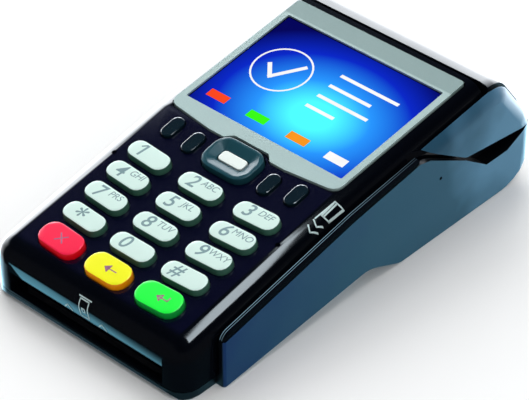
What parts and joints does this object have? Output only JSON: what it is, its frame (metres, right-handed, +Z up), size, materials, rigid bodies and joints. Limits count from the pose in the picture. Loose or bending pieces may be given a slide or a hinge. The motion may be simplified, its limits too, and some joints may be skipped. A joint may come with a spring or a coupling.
{
  "type": "card payment terminal",
  "caption": "Hand-held card payment terminal with keypad, colour display, chip and stripe card slots and a receipt printer under a hinged door.",
  "frame": {"origin": "middle of the footprint, on the surface that the feet stand on", "axes": "+X towards the side with the swipe slot, +Y from the keypad end to the paper door, +Z up"},
  "size_m": [0.0754, 0.1438, 0.0391],
  "materials": {
    "gloss_black_plastic": "polished",
    "satin_black_plastic": "satin",
    "silver_paint": "satin metallic",
    "window": "clear",
    "lcd": "lit display",
    "white_key_plastic": "satin",
    "red_key_plastic": "satin",
    "yellow_key_plastic": "satin",
    "green_key_plastic": "satin",
    "dark_key_plastic": "satin",
    "teal_key_plastic": "polished",
    "grey_frame_plastic": "moulded",
    "dark_rubber": "matte",
    "green_board": "solder mask",
    "steel": "bright",
    "ivory_gear_plastic": "moulded",
    "print_head_ceramic": "ground",
    "paper": "plain",
    "battery_wrap": "shrink film",
    "gold_contact": "gold plated"
  },
  "bodies": {
    "housing": {"upper_housing": "gloss_black_plastic", "lower_housing": "satin_black_plastic", "swipe_rail": "gloss_black_plastic", "display_bezel": "silver_paint", "display_window": "window", "lcd_module": "lcd", "keypad_mat": "dark_rubber", "main_board": "green_board", "coin_cell": "steel", "slot_throat": "gloss_black_plastic", "chip_reader": "grey_frame_plastic", "stripe_head_spring": "steel", "printer_frame": "grey_frame_plastic", "print_head": "print_head_ceramic", "stepper_motor": "steel", "tear_bar": "steel", "paper_cradle": "grey_frame_plastic", "battery_pack": "battery_wrap", "speaker": "grey_frame_plastic", "charging_contacts": "gold_contact", "hinge_pin": "steel", "rubber_foot_front": "dark_rubber", "rubber_foot_rear": "dark_rubber", "housing_screw_1": "steel", "housing_screw_2": "steel", "housing_screw_3": "steel", "housing_screw_4": "steel"},
    "paper_door": {"paper_door": "satin_black_plastic"},
    "platen": {"platen_roller": "dark_rubber", "platen_shaft": "steel", "platen_gear": "ivory_gear_plastic"},
    "drive_gear": {"drive_gear": "ivory_gear_plastic"},
    "motor_pinion": {"motor_pinion": "steel"},
    "paper_roll": {"paper_roll": "paper"},
    "battery_cover": {"battery_cover": "satin_black_plastic"},
    "stripe_head": {"stripe_head": "steel"},
    "nav_boss": {"nav_boss": "grey_frame_plastic"},
    "nav_ring": {"nav_ring": "teal_key_plastic"},
    "nav_select": {"nav_select": "white_key_plastic"},
    "key_1": {"key_1": "white_key_plastic"},
    "key_2": {"key_2": "white_key_plastic"},
    "key_3": {"key_3": "white_key_plastic"},
    "key_4": {"key_4": "white_key_plastic"},
    "key_5": {"key_5": "white_key_plastic"},
    "key_6": {"key_6": "white_key_plastic"},
    "key_7": {"key_7": "white_key_plastic"},
    "key_8": {"key_8": "white_key_plastic"},
    "key_9": {"key_9": "white_key_plastic"},
    "key_star": {"key_star": "white_key_plastic"},
    "key_0": {"key_0": "white_key_plastic"},
    "key_hash": {"key_hash": "white_key_plastic"},
    "key_cancel": {"key_cancel": "red_key_plastic"},
    "key_clear": {"key_clear": "yellow_key_plastic"},
    "key_enter": {"key_enter": "green_key_plastic"},
    "function_key_1": {"function_key_1": "dark_key_plastic"},
    "function_key_2": {"function_key_2": "dark_key_plastic"},
    "function_key_3": {"function_key_3": "dark_key_plastic"},
    "function_key_4": {"function_key_4": "dark_key_plastic"}
  },
  "joints": [
    {"name": "door_hinge", "type": "hinge", "parent": "housing", "child": "paper_door", "pos_m": [-0.0015, 0.0693, 0.0196], "axis": [-1, 0, 0], "range_deg": [0, 100]},
    {"name": "platen_spin", "type": "hinge", "parent": "paper_door", "child": "platen", "pos_m": [-0.0015, 0.0531, 0.0322], "axis": [1, 0, 0], "continuous": true},
    {"name": "drive_gear_spin", "type": "hinge", "parent": "housing", "child": "drive_gear", "pos_m": [-0.0015, 0.04568, 0.02478], "axis": [1, 0, 0], "continuous": true},
    {"name": "motor_spin", "type": "hinge", "parent": "housing", "child": "motor_pinion", "pos_m": [-0.0015, 0.03568, 0.02513], "axis": [1, 0, 0], "continuous": true},
    {"name": "paper_spin", "type": "hinge", "parent": "housing", "child": "paper_roll", "pos_m": [-0.0015, 0.0506, 0.0161], "axis": [1, 0, 0], "continuous": true},
    {"name": "battery_cover_slide", "type": "slide", "parent": "housing", "child": "battery_cover", "axis": [0, -1, 0], "range_m": [0, 0.024]},
    {"name": "stripe_head_press", "type": "slide", "parent": "housing", "child": "stripe_head", "axis": [-1, 0, 0], "range_m": [0, 0.0007], "stiffness_N_per_m": 1200, "springref_m": -0.0003},
    {"name": "nav_pitch", "type": "hinge", "parent": "housing", "child": "nav_boss", "pos_m": [-0.0015, -0.01299, 0.02607], "axis": [1, 0, 0], "range_deg": [-2.2, 2.2], "stiffness_Nm_per_rad": 0.05},
    {"name": "nav_roll", "type": "hinge", "parent": "nav_boss", "child": "nav_ring", "pos_m": [-0.0015, -0.01299, 0.02607], "axis": [0, 0.9789, 0.2045], "range_deg": [-2.2, 2.2], "stiffness_Nm_per_rad": 0.05},
    {"name": "nav_select_press", "type": "slide", "parent": "housing", "child": "nav_select", "axis": [0, 0.2045, -0.9789], "range_m": [0, 0.0006], "stiffness_N_per_m": 800, "springref_m": -0.0003},
    {"name": "key_1_press", "type": "slide", "parent": "housing", "child": "key_1", "axis": [0, 0.2045, -0.9789], "range_m": [0, 0.001], "stiffness_N_per_m": 700, "springref_m": -0.0004},
    {"name": "key_2_press", "type": "slide", "parent": "housing", "child": "key_2", "axis": [0, 0.2045, -0.9789], "range_m": [0, 0.001], "stiffness_N_per_m": 700, "springref_m": -0.0004},
    {"name": "key_3_press", "type": "slide", "parent": "housing", "child": "key_3", "axis": [0, 0.2045, -0.9789], "range_m": [0, 0.001], "stiffness_N_per_m": 700, "springref_m": -0.0004},
    {"name": "key_4_press", "type": "slide", "parent": "housing", "child": "key_4", "axis": [0, 0.2045, -0.9789], "range_m": [0, 0.001], "stiffness_N_per_m": 700, "springref_m": -0.0004},
    {"name": "key_5_press", "type": "slide", "parent": "housing", "child": "key_5", "axis": [0, 0.2045, -0.9789], "range_m": [0, 0.001], "stiffness_N_per_m": 700, "springref_m": -0.0004},
    {"name": "key_6_press", "type": "slide", "parent": "housing", "child": "key_6", "axis": [0, 0.2045, -0.9789], "range_m": [0, 0.001], "stiffness_N_per_m": 700, "springref_m": -0.0004},
    {"name": "key_7_press", "type": "slide", "parent": "housing", "child": "key_7", "axis": [0, 0.2045, -0.9789], "range_m": [0, 0.001], "stiffness_N_per_m": 700, "springref_m": -0.0004},
    {"name": "key_8_press", "type": "slide", "parent": "housing", "child": "key_8", "axis": [0, 0.2045, -0.9789], "range_m": [0, 0.001], "stiffness_N_per_m": 700, "springref_m": -0.0004},
    {"name": "key_9_press", "type": "slide", "parent": "housing", "child": "key_9", "axis": [0, 0.2045, -0.9789], "range_m": [0, 0.001], "stiffness_N_per_m": 700, "springref_m": -0.0004},
    {"name": "key_star_press", "type": "slide", "parent": "housing", "child": "key_star", "axis": [0, 0.2045, -0.9789], "range_m": [0, 0.001], "stiffness_N_per_m": 700, "springref_m": -0.0004},
    {"name": "key_0_press", "type": "slide", "parent": "housing", "child": "key_0", "axis": [0, 0.2045, -0.9789], "range_m": [0, 0.001], "stiffness_N_per_m": 700, "springref_m": -0.0004},
    {"name": "key_hash_press", "type": "slide", "parent": "housing", "child": "key_hash", "axis": [0, 0.2045, -0.9789], "range_m": [0, 0.001], "stiffness_N_per_m": 700, "springref_m": -0.0004},
    {"name": "key_cancel_press", "type": "slide", "parent": "housing", "child": "key_cancel", "axis": [0, 0.2045, -0.9789], "range_m": [0, 0.001], "stiffness_N_per_m": 700, "springref_m": -0.0004},
    {"name": "key_clear_press", "type": "slide", "parent": "housing", "child": "key_clear", "axis": [0, 0.2045, -0.9789], "range_m": [0, 0.001], "stiffness_N_per_m": 700, "springref_m": -0.0004},
    {"name": "key_enter_press", "type": "slide", "parent": "housing", "child": "key_enter", "axis": [0, 0.2045, -0.9789], "range_m": [0, 0.001], "stiffness_N_per_m": 700, "springref_m": -0.0004},
    {"name": "function_key_1_press", "type": "slide", "parent": "housing", "child": "function_key_1", "axis": [0, 0.2045, -0.9789], "range_m": [0, 0.001], "stiffness_N_per_m": 700, "springref_m": -0.0004},
    {"name": "function_key_2_press", "type": "slide", "parent": "housing", "child": "function_key_2", "axis": [0, 0.2045, -0.9789], "range_m": [0, 0.001], "stiffness_N_per_m": 700, "springref_m": -0.0004},
    {"name": "function_key_3_press", "type": "slide", "parent": "housing", "child": "function_key_3", "axis": [0, 0.2045, -0.9789], "range_m": [0, 0.001], "stiffness_N_per_m": 700, "springref_m": -0.0004},
    {"name": "function_key_4_press", "type": "slide", "parent": "housing", "child": "function_key_4", "axis": [0, 0.2045, -0.9789], "range_m": [0, 0.001], "stiffness_N_per_m": 700, "springref_m": -0.0004}
  ],
  "couplings": [
    {"joint": "drive_gear_spin", "follows": "platen_spin", "ratio": -0.4},
    {"joint": "motor_spin", "follows": "platen_spin", "ratio": 1.2}
  ]
}
